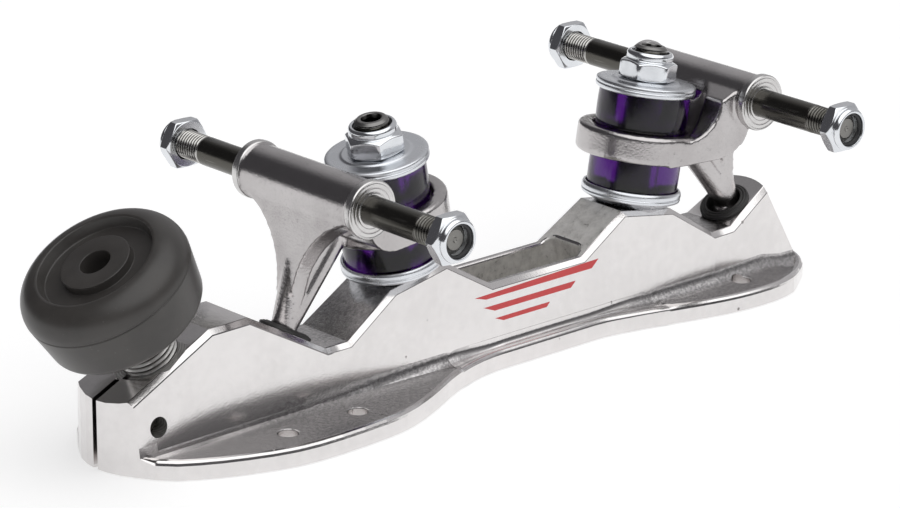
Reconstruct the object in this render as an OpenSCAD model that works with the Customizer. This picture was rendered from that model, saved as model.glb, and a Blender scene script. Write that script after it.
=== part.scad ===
// Roller skate plate: a cast plate that screws to a boot sole, two sprung trucks and a toe stop.
// The sole face lies on z = 0, the trucks stand up, the toe points to -X.
// Trucks are drawn once, with x measured inboard from the axle, and mirrored for the rear.

/* [Plate] */
// Distance between the front and rear axles
wheelbase = 145; // [138:1:156]
// Reach of the nose ahead of the front axle
nose_reach = 74; // [72:0.5:80]
// Reach of the heel behind the rear axle
heel_reach = 35.5; // [34.5:0.5:42]
// Height of the nose at its tip
nose_h = 19; // [17.5:0.1:20]
// Height of the flat top between the clamp slope and the front pivot
top_h = 33.3; // [32:0.1:35]
// Distance of the clamp slope's upper edge ahead of the front axle
top_front = 43.3; // [42:0.1:46]
// Height of the valley under each axle
valley_h = 18.7; // [17:0.1:19.5]
// End of the valley inboard of each axle
valley_in = 3.7; // [3:0.1:5]
// Height of the rim between the two trucks
dip_h = 23; // [21:0.1:25]
// Distance of the rim's ends inboard of each axle
dip_in = 55.5; // [53:0.1:58]
// Reach of the heel boss behind the middle of the rear pivot's face
boss_reach = 11.4; // [10.5:0.1:12]
// Radius of the heel boss's round back
boss_r = 18.5; // [16:0.5:22]
// Half width of the spine at the flat top
spine_half = 9.5; // [9:0.1:10.5]
// Draft of the spine's walls in degrees
wall_draft = 4.3; // [2:0.1:5]
// Outward turn of the walls ahead of the front axle in degrees
nose_flare = 1.05; // [0:0.05:1.5]
// Inward turn of the walls along the heel boss in degrees
heel_taper = 3.5; // [0:0.1:5]
// Distance of the crease where the walls turn in, inboard of the rear axle
crease_in = 5; // [3:0.1:8]
// Radius of the cove at the foot of the spine
cove_r = 3.5; // [2:0.1:4]
// Height of the lower end of the cove
cove_z = 2.6; // [2:0.1:3]

/* [Flange] */
// Half width of the front flange at its widest
front_half = 37.3; // [34:0.1:40]
// Half width at the waist
waist_half = 12.4; // [12:0.1:14]
// Half width of the rear flange at its widest
rear_half = 22.9; // [21:0.1:25]
// Widest point of the front flange ahead of the front axle
front_wide = 3; // [0:0.5:8]
// Start of the waist inboard of the front axle
waist_front = 56; // [52:0.5:62]
// End of the waist inboard of the rear axle
waist_rear = 57; // [52:0.5:62]
// Widest point of the rear flange behind the rear axle
rear_wide = 5; // [2:0.5:8]
// Thickness of the front flange
front_t = 5.8; // [5:0.1:7]
// Thickness of the waist and the rear flange
rear_t = 3.8; // [3.4:0.1:4.5]
// Distance ahead of the front axle where the flange starts to thin
thin_from = 20; // [10:1:30]
// Distance inboard of the front axle where the thinning ends
thin_to = 45; // [35:1:52]
// Width of the raised rim round the flange
rim_w = 2.2; // [1.5:0.1:3]
// Depth of the flange floor below its rim
rim_d = 1.2; // [0.6:0.1:1.4]

/* [Sole screws] */
// Diameter of the sole screw holes
sole_hole_d = 5.6; // [4:0.1:6]
// Spacing of the front holes along the plate
front_hole_dx = 24; // [20:0.5:28]
// Spacing of the front holes across the plate
front_hole_dy = 45; // [43:0.5:50]
// Middle of the front holes ahead of the front axle
front_hole_at = 16; // [14:0.5:20]
// Spacing of the rear holes across the plate
rear_hole_dy = 30; // [29:0.5:32]
// Position of the rear holes behind the rear axle
rear_hole_at = 2.5; // [0:0.5:6]

/* [Trough] */
// Half width of the trough between the trucks
trough_half = 7; // [5:0.1:7.5]
// Distance of the trough's ends inboard of each axle
trough_in = 52.4; // [50:0.1:56]
// Thickness of the trough's floor
trough_floor = 5; // [4:0.1:10]
// Corner radius of the trough
trough_r = 3; // [1:0.1:4]

/* [Toe clamp] */
// Distance of the stem's axis on the slope behind the nose
stem_back = 18.1; // [17:0.1:20]
// Diameter of the toe stop stem
stem_d = 15.9; // [14:0.1:16]
// Tilt of the stem from upright in degrees
stem_tilt = 30; // [27:0.1:31]
// Width of the clamp's split
split_w = 1.7; // [1:0.1:2]
// Diameter of the machined face on the slope
spot_d = 21.4; // [18:0.1:22]
// Depth of the machined face
spot_depth = 0.6; // [0.4:0.1:1]
// Thread diameter of the pinch screw
pinch_d = 5.6; // [4:0.1:6]
// Head diameter of the pinch screw
pinch_head_d = 9; // [8:0.1:10]
// Head height of the pinch screw
pinch_head_h = 5.5; // [4:0.1:6]
// Height of the pinch screw
pinch_z = 12; // [11:0.1:13]
// Distance of the pinch screw behind the nose
pinch_back = 11.4; // [10:0.1:12.5]
// Depth of the pinch screw's seat from the middle plane
pinch_seat = 8; // [7:0.1:9]
// Distance that the pinch screw's end lies inside the near wall
pinch_recess = 3; // [2:0.1:5]
// Size of the hexagon socket in the pinch screw
pinch_socket = 4.4; // [3:0.1:5]

/* [Toe stop] */
// Clear length of stem between the slope and the rubber
stem_out = 12.8; // [12:0.1:17]
// Length of stem inside the clamp
stem_in = 15; // [10:0.1:15]
// Radius of the rubber at its parting line
rubber_r = 23.4; // [21:0.1:25]
// Radius of the rubber's base
base_r = 21.6; // [19:0.1:23]
// Width of the bevel round the base
base_edge = 1.2; // [0.5:0.1:2]
// Height of the rubber
rubber_h = 20.9; // [20.6:0.1:24]
// Height of the parting line above the base
parting_h = 13.2; // [8:0.1:13.3]
// Radius of the rubber's rounded shoulder
shoulder_r = 7.2; // [4:0.1:7.5]
// Radius of the recessed top face
recess_r = 16.2; // [15:0.1:17]
// Depth of the recessed top face
recess_d = 3; // [1:0.1:3.5]
// Radius of the hub on the recessed face
hub_r = 9.7; // [8:0.1:11]
// Height of the hub above the recessed face
hub_h = 2.5; // [1:0.1:3]
// Radius of the hole in the hub
hub_hole_r = 4.2; // [3:0.1:5]
// Radius of the stem's flange inside the rubber
core_r = 14; // [12:0.1:15]
// Thickness of the stem's flange
core_t = 3; // [2:0.1:4]
// Height of the stem's flange above the base
core_at = 4; // [3:0.1:5]
// Height of the stem's head above its flange
head_h = 5; // [4.5:0.1:6]
// Depth of the key socket in the stem's head
key_depth = 4; // [3:0.1:4.2]

/* [Truck] */
// Height of the axles above the sole face
axle_h = 60; // [58:0.1:63]
// Diameter of the axles
axle_d = 8; // [7:0.1:8]
// Length of the axles
axle_len = 112.8; // [108:0.1:118]
// Length of the hanger's barrel
barrel_len = 48.5; // [46:0.1:50]
// Radius of the barrel
barrel_r = 7.3; // [6.8:0.1:7.4]
// Radius of the collars at the barrel's ends
collar_r = 8; // [7.6:0.1:8.2]
// Width of the collars
collar_w = 2.2; // [1.5:0.1:3]
// Distance of the pivot's centre outboard of the axle
pivot_out = 11.5; // [11:0.1:12]
// Height of the pivot's centre
pivot_h = 20; // [19.5:0.1:20.5]
// Slope of the pivot faces in degrees
pivot_slope = 29.3; // [28:0.1:31]
// Depth of the pivot's centre below its face
pivot_depth = 2.6; // [2:0.1:3]
// Radius of the ball on the pivot stem
ball_r = 4.6; // [4:0.1:4.8]
// Radius of the pivot stem where it leaves the ball
neck_r = 3.6; // [3.4:0.1:3.8]
// Radius of the pivot stem under the barrel
root_r = 4; // [3.8:0.1:5]
// Height of the fan web's foot above the pivot's centre
web_foot = 13; // [11:0.1:14]
// Radius of the fan web's hollow edges
web_r = 24; // [22:0.5:26]
// Distance of the fan web's outer face from the stem's axis at its foot
web_low = 2.6; // [1.5:0.1:3.2]
// Distance of the fan web's outer face from the stem's axis at the barrel
web_front = 6; // [4:0.1:6.4]
// Distance of the fan web's inner face from the stem's axis
web_back = 1.6; // [1:0.1:3]
// Height of the back rib's foot above the pivot's centre
rib_foot = 4; // [3.5:0.1:6]
// Lean of the back rib from the stem in degrees
rib_lean = 23.6; // [21:0.1:25]
// Radius of the back rib
rib_r = 3.5; // [3:0.1:3.6]
// Length of the back rib into the arms
rib_len = 32; // [31:0.1:33]
// Thickness of the web between the stem and the back rib
rib_web = 5.4; // [4:0.1:6]
// Distance that the web and the arms keep from the collars
web_inset = 0.5; // [0.3:0.1:1]

/* [Kingpin stack] */
// Distance of the kingpin's seat inboard of the axle
kingpin_in = 28.3; // [27.5:0.1:30]
// Height of the kingpin's seat
seat_h = 30.7; // [30:0.1:31.5]
// Lean of the kingpin towards the axle in degrees
lean = 10; // [8:0.1:11]
// Length of the seat outboard of the kingpin
seat_out = 8.3; // [7:0.1:9]
// Length of the seat inboard of the kingpin
seat_inn = 11; // [10:0.1:12]
// Diameter of the kingpin
kingpin_d = 9.5; // [8:0.1:10]
// Depth of the kingpin in the plate
kingpin_depth = 17; // [12:0.1:20]
// Length of kingpin that stands out of its nut
kingpin_proud = 1.6; // [1:0.1:3]
// Size of the hexagon socket in the kingpin
kingpin_socket = 5; // [3:0.1:5.5]
// Depth of the hexagon socket
socket_depth = 5; // [3:0.1:6]
// Radius of the retainers
retainer_r = 14.2; // [13.8:0.1:14.5]
// Wall of the retainers
retainer_t = 1; // [0.6:0.1:1.2]
// Height of a retainer's rim
retainer_rim = 3.4; // [2.8:0.1:4]
// Height of a retainer's dish
dish_h = 2; // [1:0.1:2.5]
// Radius of the foot of a retainer's dish
dish_r = 9.4; // [8:0.1:10]
// Height of the step on top of the upper retainer
retainer_step = 0.4; // [0.2:0.1:0.6]
// Height of the rolled edge of a retainer
roll_h = 1; // [0.6:0.1:1.2]
// Radius of the cushions
cushion_r = 13; // [11.5:0.1:13]
// Visible height of the lower cushion
lower_gap = 8.8; // [8:0.1:9.5]
// Visible height of the upper cushion
upper_gap = 10.2; // [9:0.1:11]
// Outer radius of the cushion ring
ring_r = 17.5; // [17:0.1:18.5]
// Height of the cushion ring
ring_h = 8.2; // [7.8:0.1:9]
// Width of the bevels on the cushion ring
ring_edge = 0.8; // [0.4:0.1:1.2]
// Depth of the cushion seats in the ring
ring_seat = 2.5; // [2:0.1:3]
// Radius of the ring's hole
ring_hole_r = 7.4; // [7:0.1:8]
// Radius of the arms' hollow upper edges
hollow_r = 11.5; // [10:0.1:12]
// Depth that the hollows dip below the ring's top
hollow_dip = 1; // [0.5:0.1:1.5]
// Depth of the arms' outer faces inside the ring's rim
arm_in = 0.3; // [0.2:0.1:0.6]
// Start of the arms' rise inboard of the axle
arm_knee = 14; // [12:0.1:16]
// End of the arms' rise inboard of the axle
arm_root = 2; // [1:0.1:3]
// Gap between the upper cushion and the arms
pocket_gap = 2.2; // [1.8:0.1:2.4]
// Flare of the arms' inner walls in degrees
pocket_flare = 10; // [8:0.5:12]

/* [Nuts and cups] */
// Width across the flats of the axle nuts
axle_nut_af = 13; // [12:0.1:13.5]
// Height of the axle nuts
axle_nut_h = 5.8; // [5.4:0.1:7]
// Length of axle tip inside each axle nut
axle_grip = 3.7; // [3.2:0.1:4.6]
// Width across the flats of the kingpin nuts
kingpin_nut_af = 14.5; // [14:0.1:16]
// Height of the kingpin nuts
kingpin_nut_h = 8; // [7:0.1:9]
// Share of a nut's height taken by its hexagon
hex_part = 0.68; // [0.6:0.01:0.75]
// Width of a nut's round collar as a share of its flats
collar_part = 0.92; // [0.88:0.01:0.94]
// Wall of a nut's collar at its lip
nut_lip = 0.8; // [0.5:0.1:1]
// Height of the bevels on a nut's corners
nut_bevel = 0.9; // [0.5:0.1:1.2]
// Depth of a nut's insert below the lip
insert_drop = 0.7; // [0.4:0.1:1]
// Radius of the pivot cups' bodies
cup_r = 6.3; // [6:0.1:6.5]
// Length of the pivot cups' bodies
cup_len = 8.5; // [8:0.1:9]
// Radius of the pivot cups' flanges
cup_flange_r = 7.4; // [7:0.1:7.6]
// Thickness of the pivot cups' flanges
cup_flange_t = 1.4; // [1:0.1:1.8]
// Flare of the pivot cups' mouths in degrees
cup_mouth = 4.5; // [3:0.1:6]

/* [Clearances] */
// Radial clearance of pressed and screwed pieces
fit = 0.02; // [0.01:0.01:0.05]
// Radial running clearance of the stem in its clamp
run = 0.05; // [0.02:0.01:0.1]
// Clearance of soft pieces round moving ones
soft = 0.3; // [0.2:0.05:0.5]
// Gap between a cushion and its seats
seat_gap = 0.1; // [0.05:0.01:0.2]
// Bevel on the ends of the axles and kingpins
end_bevel = 0.8; // [0.4:0.1:1]
// Bevel on the cushions' edges
cushion_edge = 0.8; // [0.4:0.1:1]

/* [Hidden] */
$fn = 64;
big = 200;

// Points on each quarter of the outline, on the cove and on the other drawn arcs
outline_steps = 14;
cove_steps = 6;
arc_steps = 9;

// Places along the plate, measured from its middle
front_x = -wheelbase / 2;
rear_x = wheelbase / 2;
nose_x = front_x - nose_reach;
heel_x = rear_x + heel_reach;
crease_x = rear_x - crease_in;

// Clamp slope, and the place where the stem's axis crosses it
slope_a = atan2(top_h - nose_h, nose_reach - top_front);
stem_x = nose_x + stem_back;
stem_z = nose_h + stem_back * tan(slope_a);

// Pivot faces: the face's point above the pivot, and where the face meets a given height
face_x = -pivot_out + pivot_depth * sin(pivot_slope);
face_z = pivot_h + pivot_depth * cos(pivot_slope);
function face_at(z) = face_x - (z - face_z) / tan(pivot_slope);

// Kingpin stack, heights along the kingpin above its seat
lower_floor = dish_h + retainer_t;
ring_low = dish_h + retainer_rim + lower_gap;
ring_top = ring_low + ring_h;
stack_top = ring_top + upper_gap + retainer_rim;
upper_floor = stack_top - retainer_step - retainer_t;
kingpin_top = stack_top + kingpin_nut_h + kingpin_proud;

// Pivot stem: from the ball up to the axle
stem_lean = atan2(pivot_out, axle_h - pivot_h);
stem_len = norm([pivot_out, axle_h - pivot_h]);

// Arms: the axle's place across the kingpin, and where the arms touch the ring
arm_half = barrel_len / 2 - collar_w - web_inset;
axle_u = (axle_h - seat_h) * sin(lean) - kingpin_in * cos(lean);
touch_r = ring_r - arm_in;
touch_a = atan2(arm_half, axle_u) - acos(touch_r / norm([axle_u, arm_half]));
touch_u = touch_r * cos(touch_a);
touch_y = touch_r * sin(touch_a);

nut_face = axle_len / 2 - axle_grip;
cup_bore = ball_r + soft;

// Half of the sole outline: two elliptic ends and two smooth steps, drawn in by an inset
function quarter(x0, x1, y, from, to) = [
    for (i = [0 : outline_steps])
        let (a = from + (to - from) * i / outline_steps)
        [x0 + (x1 - x0) * cos(a), y * sin(a)]
];
function step(x0, x1, y0, y1) = [
    for (i = [1 : outline_steps - 1])
        let (t = i / outline_steps)
        [x0 + (x1 - x0) * t, y0 + (y1 - y0) * (1 - cos(180 * t)) / 2]
];
function half_outline(inset) = concat(
    quarter(front_x - front_wide, nose_x + inset, front_half - inset, 0, 90),
    step(front_x - front_wide, front_x + waist_front, front_half - inset, waist_half - inset),
    [[front_x + waist_front, waist_half - inset]],
    [[rear_x - waist_rear, waist_half - inset]],
    step(rear_x - waist_rear, rear_x + rear_wide, waist_half - inset, rear_half - inset),
    quarter(rear_x + rear_wide, heel_x - inset, rear_half - inset, 90, 0)
);
function flip(points) = [
    for (i = [len(points) - 2 : -1 : 1])
        [points[i][0], -points[i][1]]
];
module sole_outline(inset = 0) {
    half = half_outline(inset);
    polygon(concat(half, flip(half)));
}

// Draws a side view, x along the plate and z up, through a given width
module side_view(width = big) {
    rotate([90, 0, 0]) linear_extrude(width, center = true) children();
}

module at_front() {
    translate([front_x, 0, 0]) children();
}
module at_rear() {
    mirror([1, 0, 0]) translate([front_x, 0, 0]) children();
}
module both_trucks() {
    at_front() children();
    at_rear() children();
}

// Local frames on a truck and on the toe stop
module on_kingpin(s = 0) {
    translate([kingpin_in, 0, seat_h]) rotate([0, -lean, 0]) translate([0, 0, s]) children();
}
module on_pivot_face() {
    translate([face_x, 0, face_z]) rotate([0, pivot_slope, 0]) children();
}
module on_pivot_stem() {
    translate([-pivot_out, 0, pivot_h]) rotate([0, stem_lean, 0]) children();
}
module on_axle() {
    translate([0, 0, axle_h]) rotate([90, 0, 0]) children();
}
module on_stem(s = 0) {
    translate([stem_x, 0, stem_z]) rotate([0, -stem_tilt, 0]) translate([0, 0, s]) children();
}
module on_pinch_screw() {
    translate([nose_x + pinch_back, 0, pinch_z]) rotate([-90, 0, 0]) children();
}

// Thickness of the flange seen from the side, lowered by a drop
module flange_side(drop) {
    polygon([
        [nose_x - 1, 0],
        [heel_x + 1, 0],
        [heel_x + 1, rear_t - drop],
        [front_x + thin_to, rear_t - drop],
        [front_x - thin_from, front_t - drop],
        [nose_x - 1, front_t - drop]
    ]);
}
module flange() {
    intersection() {
        linear_extrude(top_h) sole_outline();
        side_view() flange_side(rim_d);
    }
    intersection() {
        linear_extrude(top_h) difference() {
            sole_outline();
            sole_outline(rim_w);
        }
        side_view() flange_side(0);
    }
}

// Half section of the spine with its drafted wall and the cove at its foot
function wall_half(z) = spine_half + (top_h - z) * tan(wall_draft);
module wall_section() {
    foot_z = cove_z + cove_r;
    centre_y = wall_half(foot_z) + cove_r;
    cove = [
        for (i = [0 : cove_steps])
            let (a = 180 + 90 * i / cove_steps)
            [centre_y + cove_r * cos(a), foot_z + cove_r * sin(a)]
    ];
    polygon(concat(
        [[-big, 0], [-big, top_h + 1], [wall_half(top_h + 1), top_h + 1]],
        cove,
        [[centre_y, 0]]
    ));
}

// Both walls of the spine, turned about the origin so that they close in towards the heel
module walls(inward = 0) {
    intersection() {
        rotate([0, 0, -inward]) wall_block();
        rotate([0, 0, inward]) mirror([0, 1, 0]) wall_block();
    }
}
module wall_block() {
    rotate([90, 0, 90]) linear_extrude(3 * big, center = true) wall_section();
}

// Side view of the spine
module spine_side() {
    polygon([
        [nose_x - 1, 0],
        [nose_x - 1, nose_h - tan(slope_a)],
        [front_x - top_front, top_h],
        [front_x + face_at(top_h), top_h],
        [front_x + face_at(valley_h), valley_h],
        [front_x + valley_in, valley_h],
        [front_x + kingpin_in - seat_out, seat_h - seat_out * tan(lean)],
        [front_x + kingpin_in + seat_inn, seat_h + seat_inn * tan(lean)],
        [front_x + dip_in, dip_h],
        [rear_x - dip_in, dip_h],
        [rear_x - kingpin_in - seat_inn, seat_h + seat_inn * tan(lean)],
        [rear_x - kingpin_in + seat_out, seat_h - seat_out * tan(lean)],
        [rear_x - valley_in, valley_h],
        [rear_x - face_at(valley_h), valley_h],
        [rear_x - face_at(top_h), top_h],
        [heel_x + 1, top_h],
        [heel_x + 1, 0]
    ]);
}

// Round back of the heel boss, square to the pivot's face, and all that lies ahead of it
module heel_back() {
    translate([-big, -big / 2, -1]) cube([big + rear_x + pivot_out, big, big]);
    at_rear() on_pivot_face() translate([boss_r - boss_reach, 0, 0])
        cylinder(r = boss_r, h = big, center = true, $fn = 128);
}
module spine() {
    intersection() {
        linear_extrude(big) sole_outline();
        side_view() spine_side();
        translate([crease_x, 0, 0]) walls(heel_taper);
        union() {
            walls();
            translate([front_x, 0, 0]) walls(nose_flare);
        }
        heel_back();
    }
}

module trough() {
    x0 = front_x + trough_in + trough_r;
    x1 = rear_x - trough_in - trough_r;
    y = trough_half - trough_r;
    translate([0, 0, trough_floor]) linear_extrude(big) {
        translate([x0 - trough_r, -y]) square([x1 - x0 + 2 * trough_r, 2 * y]);
        translate([x0, -trough_half]) square([x1 - x0, 2 * trough_half]);
        for (x = [x0, x1], s = [-1, 1]) translate([x, s * y]) circle(trough_r);
    }
}

module sole_holes() {
    for (sx = [-1, 1], sy = [-1, 1])
        translate([front_x - front_hole_at + sx * front_hole_dx / 2, sy * front_hole_dy / 2, -1])
            cylinder(d = sole_hole_d, h = top_h);
    for (sy = [-1, 1])
        translate([rear_x + rear_hole_at, sy * rear_hole_dy / 2, -1])
            cylinder(d = sole_hole_d, h = top_h);
}

// The split runs from the nose back to the stem's axis
module clamp_split() {
    side_view(split_w) polygon([
        [nose_x - 2, -1],
        [stem_x + (stem_z + 1) * tan(stem_tilt), -1],
        [stem_x - top_h * tan(stem_tilt), stem_z + top_h],
        [nose_x - 2, stem_z + top_h]
    ]);
}
module clamp_cuts() {
    clamp_split();
    on_stem(-big / 2) cylinder(d = stem_d + 2 * run, h = big);
    on_stem(-spot_depth) cylinder(d = spot_d, h = big);
    on_pinch_screw() {
        cylinder(d = pinch_d + 2 * fit, h = big, center = true);
        translate([0, 0, pinch_seat]) cylinder(d = pinch_head_d + 2 * fit, h = big);
    }
}

module plate() {
    color("gainsboro") difference() {
        union() {
            flange();
            spine();
        }
        trough();
        sole_holes();
        clamp_cuts();
        both_trucks() {
            on_kingpin(-kingpin_depth) cylinder(d = kingpin_d + 2 * fit, h = big);
            on_pivot_face() translate([0, 0, -cup_len - fit]) cylinder(r = cup_r + fit, h = big);
        }
    }
}

module pinch_bolt() {
    tip = wall_half(pinch_z) - pinch_recess;
    color("silver") on_pinch_screw() difference() {
        union() {
            translate([0, 0, -tip]) cylinder(d = pinch_d, h = tip + pinch_seat + 1);
            translate([0, 0, pinch_seat + fit]) cylinder(d = pinch_head_d, h = pinch_head_h);
        }
        translate([0, 0, pinch_seat + pinch_head_h / 2])
            cylinder(d = pinch_socket / cos(30), h = pinch_head_h, $fn = 6);
    }
}

// Rubber of the toe stop as a turned section, moulded over the stem's flange and head
module toe_stop_rubber() {
    floor_h = rubber_h - recess_d;
    shoulder = [
        for (i = [0 : arc_steps])
            let (a = 90 * i / arc_steps)
            [rubber_r - shoulder_r * (1 - cos(a)), rubber_h - shoulder_r * (1 - sin(a))]
    ];
    color("#3a3838") on_stem(stem_out) difference() {
        rotate_extrude() polygon(concat(
            [[0, 0], [base_r - base_edge, 0], [base_r, base_edge], [rubber_r, parting_h]],
            shoulder,
            [
                [recess_r, rubber_h],
                [recess_r - recess_d / 3, floor_h],
                [hub_r, floor_h],
                [hub_r, floor_h + hub_h],
                [0, floor_h + hub_h]
            ]
        ));
        stem_solid(fit);
        cylinder(r = hub_hole_r, h = big);
    }
}

// Steel stem: threaded shank, bonding flange and head, with a key socket in its end
module stem_solid(grow) {
    translate([0, 0, -stem_out - stem_in])
        cylinder(d = stem_d + 2 * grow, h = stem_out + stem_in + core_at + core_t + head_h + grow);
    translate([0, 0, core_at - grow]) cylinder(r = core_r + grow, h = core_t + 2 * grow);
}
module toe_stop_stem() {
    color("dimgray") on_stem(stem_out) difference() {
        stem_solid(0);
        translate([0, 0, core_at + core_t + head_h - key_depth])
            cylinder(r = hub_hole_r, h = big, $fn = 6);
    }
}

// Barrel with its two collars, turned about the axle
module barrel() {
    h = barrel_len / 2;
    taper = collar_r - barrel_r;
    rotate_extrude() polygon([
        [0, -h], [collar_r, -h], [collar_r, -h + collar_w], [barrel_r, -h + collar_w + taper],
        [barrel_r, h - collar_w - taper], [collar_r, h - collar_w], [collar_r, h], [0, h]
    ]);
}

// Fan web between the barrel and the pivot stem: hollow edges, thinning into the stem at its foot
module fan_web() {
    on_pivot_stem() intersection() {
        rotate([90, 0, 90]) linear_extrude(big, center = true) difference() {
            translate([-arm_half, web_foot]) square([2 * arm_half, stem_len - web_foot]);
            for (s = [-1, 1]) translate([s * (neck_r + web_r), web_foot]) circle(web_r, $fn = 128);
        }
        side_view() polygon([
            [-web_low, web_foot], [web_back, web_foot], [web_back, stem_len], [-web_front, stem_len]
        ]);
    }
}

// Pivot stem with its ball, and a back rib that leans from it into the arms
module pivot_stem() {
    rib_x = rib_len * sin(rib_lean);
    rib_z = rib_foot + rib_len * cos(rib_lean);
    on_pivot_stem() {
        sphere(ball_r);
        cylinder(r1 = neck_r, r2 = root_r, h = stem_len);
        translate([0, 0, rib_foot]) rotate([0, rib_lean, 0]) cylinder(r = rib_r, h = rib_len);
        side_view(rib_web) polygon([[0, rib_foot], [rib_x, rib_z], [0, stem_len]]);
    }
}

// Cushion ring with bevelled edges, turned about the kingpin
module ring_blank() {
    on_kingpin(ring_low) rotate_extrude() polygon([
        [0, 0], [ring_r - ring_edge, 0], [ring_r, ring_edge], [ring_r, ring_h - ring_edge],
        [ring_r - ring_edge, ring_h], [0, ring_h]
    ]);
}
module ring_cuts() {
    seat_r = cushion_r + 2 * soft;
    on_kingpin(ring_low - 1) cylinder(r = ring_hole_r, h = ring_h + 2);
    on_kingpin(ring_low - 1) cylinder(r = seat_r, h = ring_seat + 1);
    on_kingpin(ring_top - ring_seat) cylinder(r = seat_r, h = ring_seat + 1);
}

// Arms seen from the side: a level underside that rises to the barrel, and a hollow upper edge
module arms_side() {
    low_z = seat_h + ring_low * cos(lean);
    end_x = kingpin_in + touch_u * cos(lean) - ring_low * sin(lean);
    meet_r = barrel_r - web_inset;
    meet_z = axle_h - meet_r * cos(asin(arm_root / meet_r));
    under = [
        for (i = [0 : arc_steps])
            let (a = 90 * i / arc_steps)
            [arm_knee - (arm_knee - arm_root) * sin(a), meet_z - (meet_z - low_z) * cos(a)]
    ];
    polygon(concat(
        [[end_x, axle_h - barrel_r], [end_x, low_z]],
        under,
        [[0, axle_h], [meet_r * sin(45), axle_h + meet_r * cos(45)]]
    ));
}

// Arms that leave the ring on its tangents and run to the barrel's ends, cleared round the cushion
module arms() {
    difference() {
        intersection() {
            side_view() arms_side();
            on_kingpin() linear_extrude(big) polygon([
                [axle_u, -arm_half], [touch_u, -touch_y], [touch_u, touch_y], [axle_u, arm_half]
            ]);
        }
        on_kingpin(ring_top + hollow_r - hollow_dip) rotate([90, 0, 0])
            cylinder(r = hollow_r, h = big, center = true, $fn = 128);
        on_kingpin(ring_top + hollow_r - hollow_dip) translate([0, -big / 2, -hollow_r / 2]) cube(big);
        on_kingpin(ring_top)
            cylinder(r1 = cushion_r + pocket_gap, r2 = cushion_r + pocket_gap + big * tan(pocket_flare), h = big);
    }
}

module hanger() {
    color("darkgray") difference() {
        union() {
            on_axle() barrel();
            fan_web();
            pivot_stem();
            arms();
            ring_blank();
        }
        on_axle() cylinder(r = axle_d / 2 + fit, h = big, center = true);
        ring_cuts();
    }
}

// Plain round bar along z between two heights, with bevelled ends
module bar(r, from, to) {
    rotate_extrude() polygon([
        [0, from], [r - end_bevel, from], [r, from + end_bevel],
        [r, to - end_bevel], [r - end_bevel, to], [0, to]
    ]);
}
module axle() {
    color("#2b2926") on_axle() bar(axle_d / 2, -axle_len / 2, axle_len / 2);
}

// Lock nut with a bevelled hexagon, a round collar and a groove for its insert
module lock_nut(bore_r, af, h) {
    hex_h = h * hex_part;
    corner = af / 2 / cos(30);
    collar = af / 2 * collar_part;
    difference() {
        union() {
            intersection() {
                cylinder(r = corner, h = hex_h, $fn = 6);
                rotate_extrude() polygon([
                    [0, 0], [af / 2, 0], [corner, nut_bevel], [corner, hex_h - nut_bevel],
                    [af / 2, hex_h], [0, hex_h]
                ]);
            }
            cylinder(r = collar, h = h - nut_lip);
            translate([0, 0, h - nut_lip]) cylinder(r1 = collar, r2 = collar - nut_lip, h = nut_lip);
        }
        translate([0, 0, -1]) cylinder(r = bore_r, h = h + 2);
        translate([0, 0, hex_h]) cylinder(r = collar - nut_lip - fit, h = h);
    }
}
module lock_insert(bore_r, af, h) {
    hex_h = h * hex_part;
    difference() {
        translate([0, 0, hex_h])
            cylinder(r = af / 2 * collar_part - nut_lip - 2 * fit, h = h - hex_h - insert_drop);
        cylinder(r = bore_r, h = h);
    }
}

// Places a nut or insert at both ends of the axle
module at_axle_ends() {
    for (side = [0, 1]) on_axle() mirror([0, 0, side]) translate([0, 0, nut_face]) children();
}
module axle_nuts() {
    color("lightgray") at_axle_ends() lock_nut(axle_d / 2 + fit, axle_nut_af, axle_nut_h);
}
module axle_nut_inserts() {
    color("#222222") at_axle_ends() lock_insert(axle_d / 2 + fit, axle_nut_af, axle_nut_h);
}

module kingpin() {
    color("#302e2b") difference() {
        on_kingpin() bar(kingpin_d / 2, fit - kingpin_depth, kingpin_top);
        on_kingpin(kingpin_top - socket_depth)
            cylinder(d = kingpin_socket / cos(30), h = socket_depth + 1, $fn = 6);
    }
}
module kingpin_nut() {
    color("silver") on_kingpin(stack_top + fit)
        lock_nut(kingpin_d / 2 + fit, kingpin_nut_af, kingpin_nut_h);
}
module kingpin_nut_insert() {
    color("#222222") on_kingpin(stack_top + fit)
        lock_insert(kingpin_d / 2 + fit, kingpin_nut_af, kingpin_nut_h);
}

// Dished washer: a foot, a cone and an upturned rim that holds the cushion
module lower_retainer() {
    rim_top = dish_h + retainer_rim;
    wall = retainer_r - retainer_t;
    hole = kingpin_d / 2 + fit;
    color("silver") on_kingpin() rotate_extrude() polygon([
        [hole, 0], [dish_r, 0], [retainer_r - roll_h, dish_h],
        [retainer_r, dish_h + roll_h / 2], [retainer_r, dish_h + 2 * roll_h],
        [retainer_r - retainer_t / 2, rim_top], [wall, rim_top],
        [wall, lower_floor], [hole, lower_floor]
    ]);
}

// The upper washer is flat on top, under the nut, with a small step near its middle
module upper_retainer() {
    wall = retainer_r - retainer_t;
    hole = kingpin_d / 2 + fit;
    floor_d = retainer_step + retainer_t;
    color("silver") on_kingpin(stack_top) mirror([0, 0, 1]) rotate_extrude() polygon([
        [hole, 0], [dish_r, 0], [dish_r + retainer_step, retainer_step],
        [retainer_r - roll_h, retainer_step],
        [retainer_r, roll_h], [retainer_r, retainer_rim - roll_h],
        [retainer_r - retainer_t / 2, retainer_rim], [wall, retainer_rim],
        [wall, floor_d], [hole, floor_d]
    ]);
}

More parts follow.
